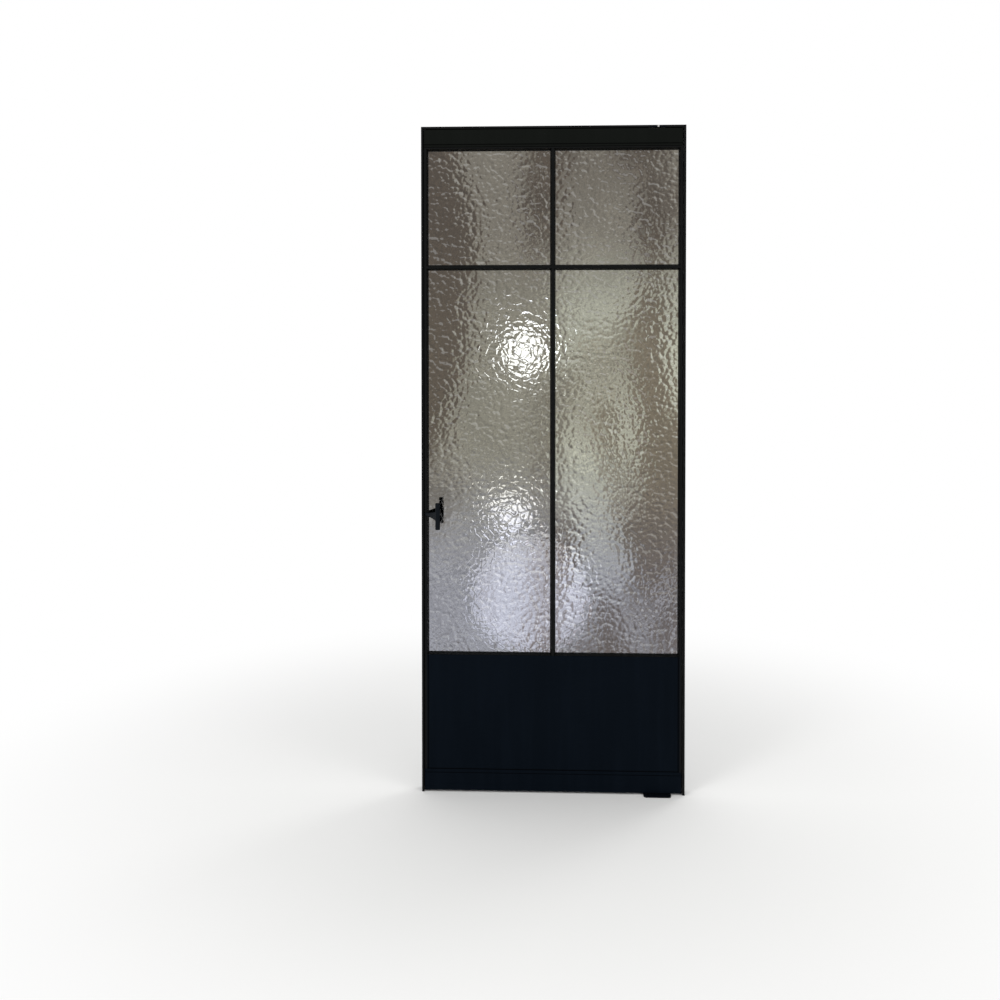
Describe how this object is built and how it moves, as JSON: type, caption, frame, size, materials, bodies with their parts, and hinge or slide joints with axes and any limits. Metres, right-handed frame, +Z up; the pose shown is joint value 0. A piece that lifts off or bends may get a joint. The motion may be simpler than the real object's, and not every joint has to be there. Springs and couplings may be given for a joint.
{
  "type": "glass pivot door",
  "caption": "Tall black steel-look interior door with rippled glass panes over a solid kick panel, T-shaped grips, and a leaf that swings both ways on floor and head pivots in a slim frame.",
  "frame": {"origin": "on the floor, under the middle of the closed door's width and depth", "axes": "+Z up along the jambs, +X towards the pivot side seen from the front, +Y through the door from front to back"},
  "size_m": [0.985, 0.176, 2.5],
  "materials": {
    "black_coat": "satin",
    "grip_coat": "satin",
    "dark_plate": "matte",
    "glass": "gloss",
    "gasket": "matte",
    "blocks": "matte",
    "steel": "satin",
    "raw_steel": "satin",
    "bush": "satin",
    "core_board": "matte"
  },
  "bodies": {
    "frame": {"left_jamb": "black_coat", "right_jamb": "black_coat", "head_long": "black_coat", "head_short": "black_coat", "frame_screws": "steel", "left_seal": "gasket", "right_seal": "gasket", "head_seal": "gasket", "head_plate": "dark_plate", "head_bush": "bush", "head_screw": "steel", "floor_plate": "dark_plate", "floor_pin": "steel"},
    "leaf": {"left_stile": "black_coat", "right_stile": "black_coat", "top_rail": "black_coat", "top_profile": "black_coat", "bottom_rail": "black_coat", "mid_rail": "black_coat", "cross_bar": "black_coat", "lower_bar": "black_coat", "upper_bar": "black_coat", "kick_front": "black_coat", "kick_rear": "black_coat", "kick_core": "core_board", "setting_blocks": "blocks", "floor_cassette": "raw_steel", "floor_bush": "bush", "head_cassette": "raw_steel", "head_pin": "steel", "fixing_bars": "raw_steel", "cassette_screws": "steel", "front_grip": "grip_coat", "rear_grip": "grip_coat", "glass_lower_left": "glass", "gasket_lower_left": "gasket", "beads_front_lower_left": "black_coat", "beads_rear_lower_left": "black_coat", "glass_lower_right": "glass", "gasket_lower_right": "gasket", "beads_front_lower_right": "black_coat", "beads_rear_lower_right": "black_coat", "glass_upper_left": "glass", "gasket_upper_left": "gasket", "beads_front_upper_left": "black_coat", "beads_rear_upper_left": "black_coat", "glass_upper_right": "glass", "gasket_upper_right": "gasket", "beads_front_upper_right": "black_coat", "beads_rear_upper_right": "black_coat"}
  },
  "joints": [
    {"name": "leaf_swing", "type": "hinge", "parent": "frame", "child": "leaf", "pos_m": [0.3895, 0, 0], "axis": [0, 0, 1], "range_deg": [-90, 90]}
  ]
}
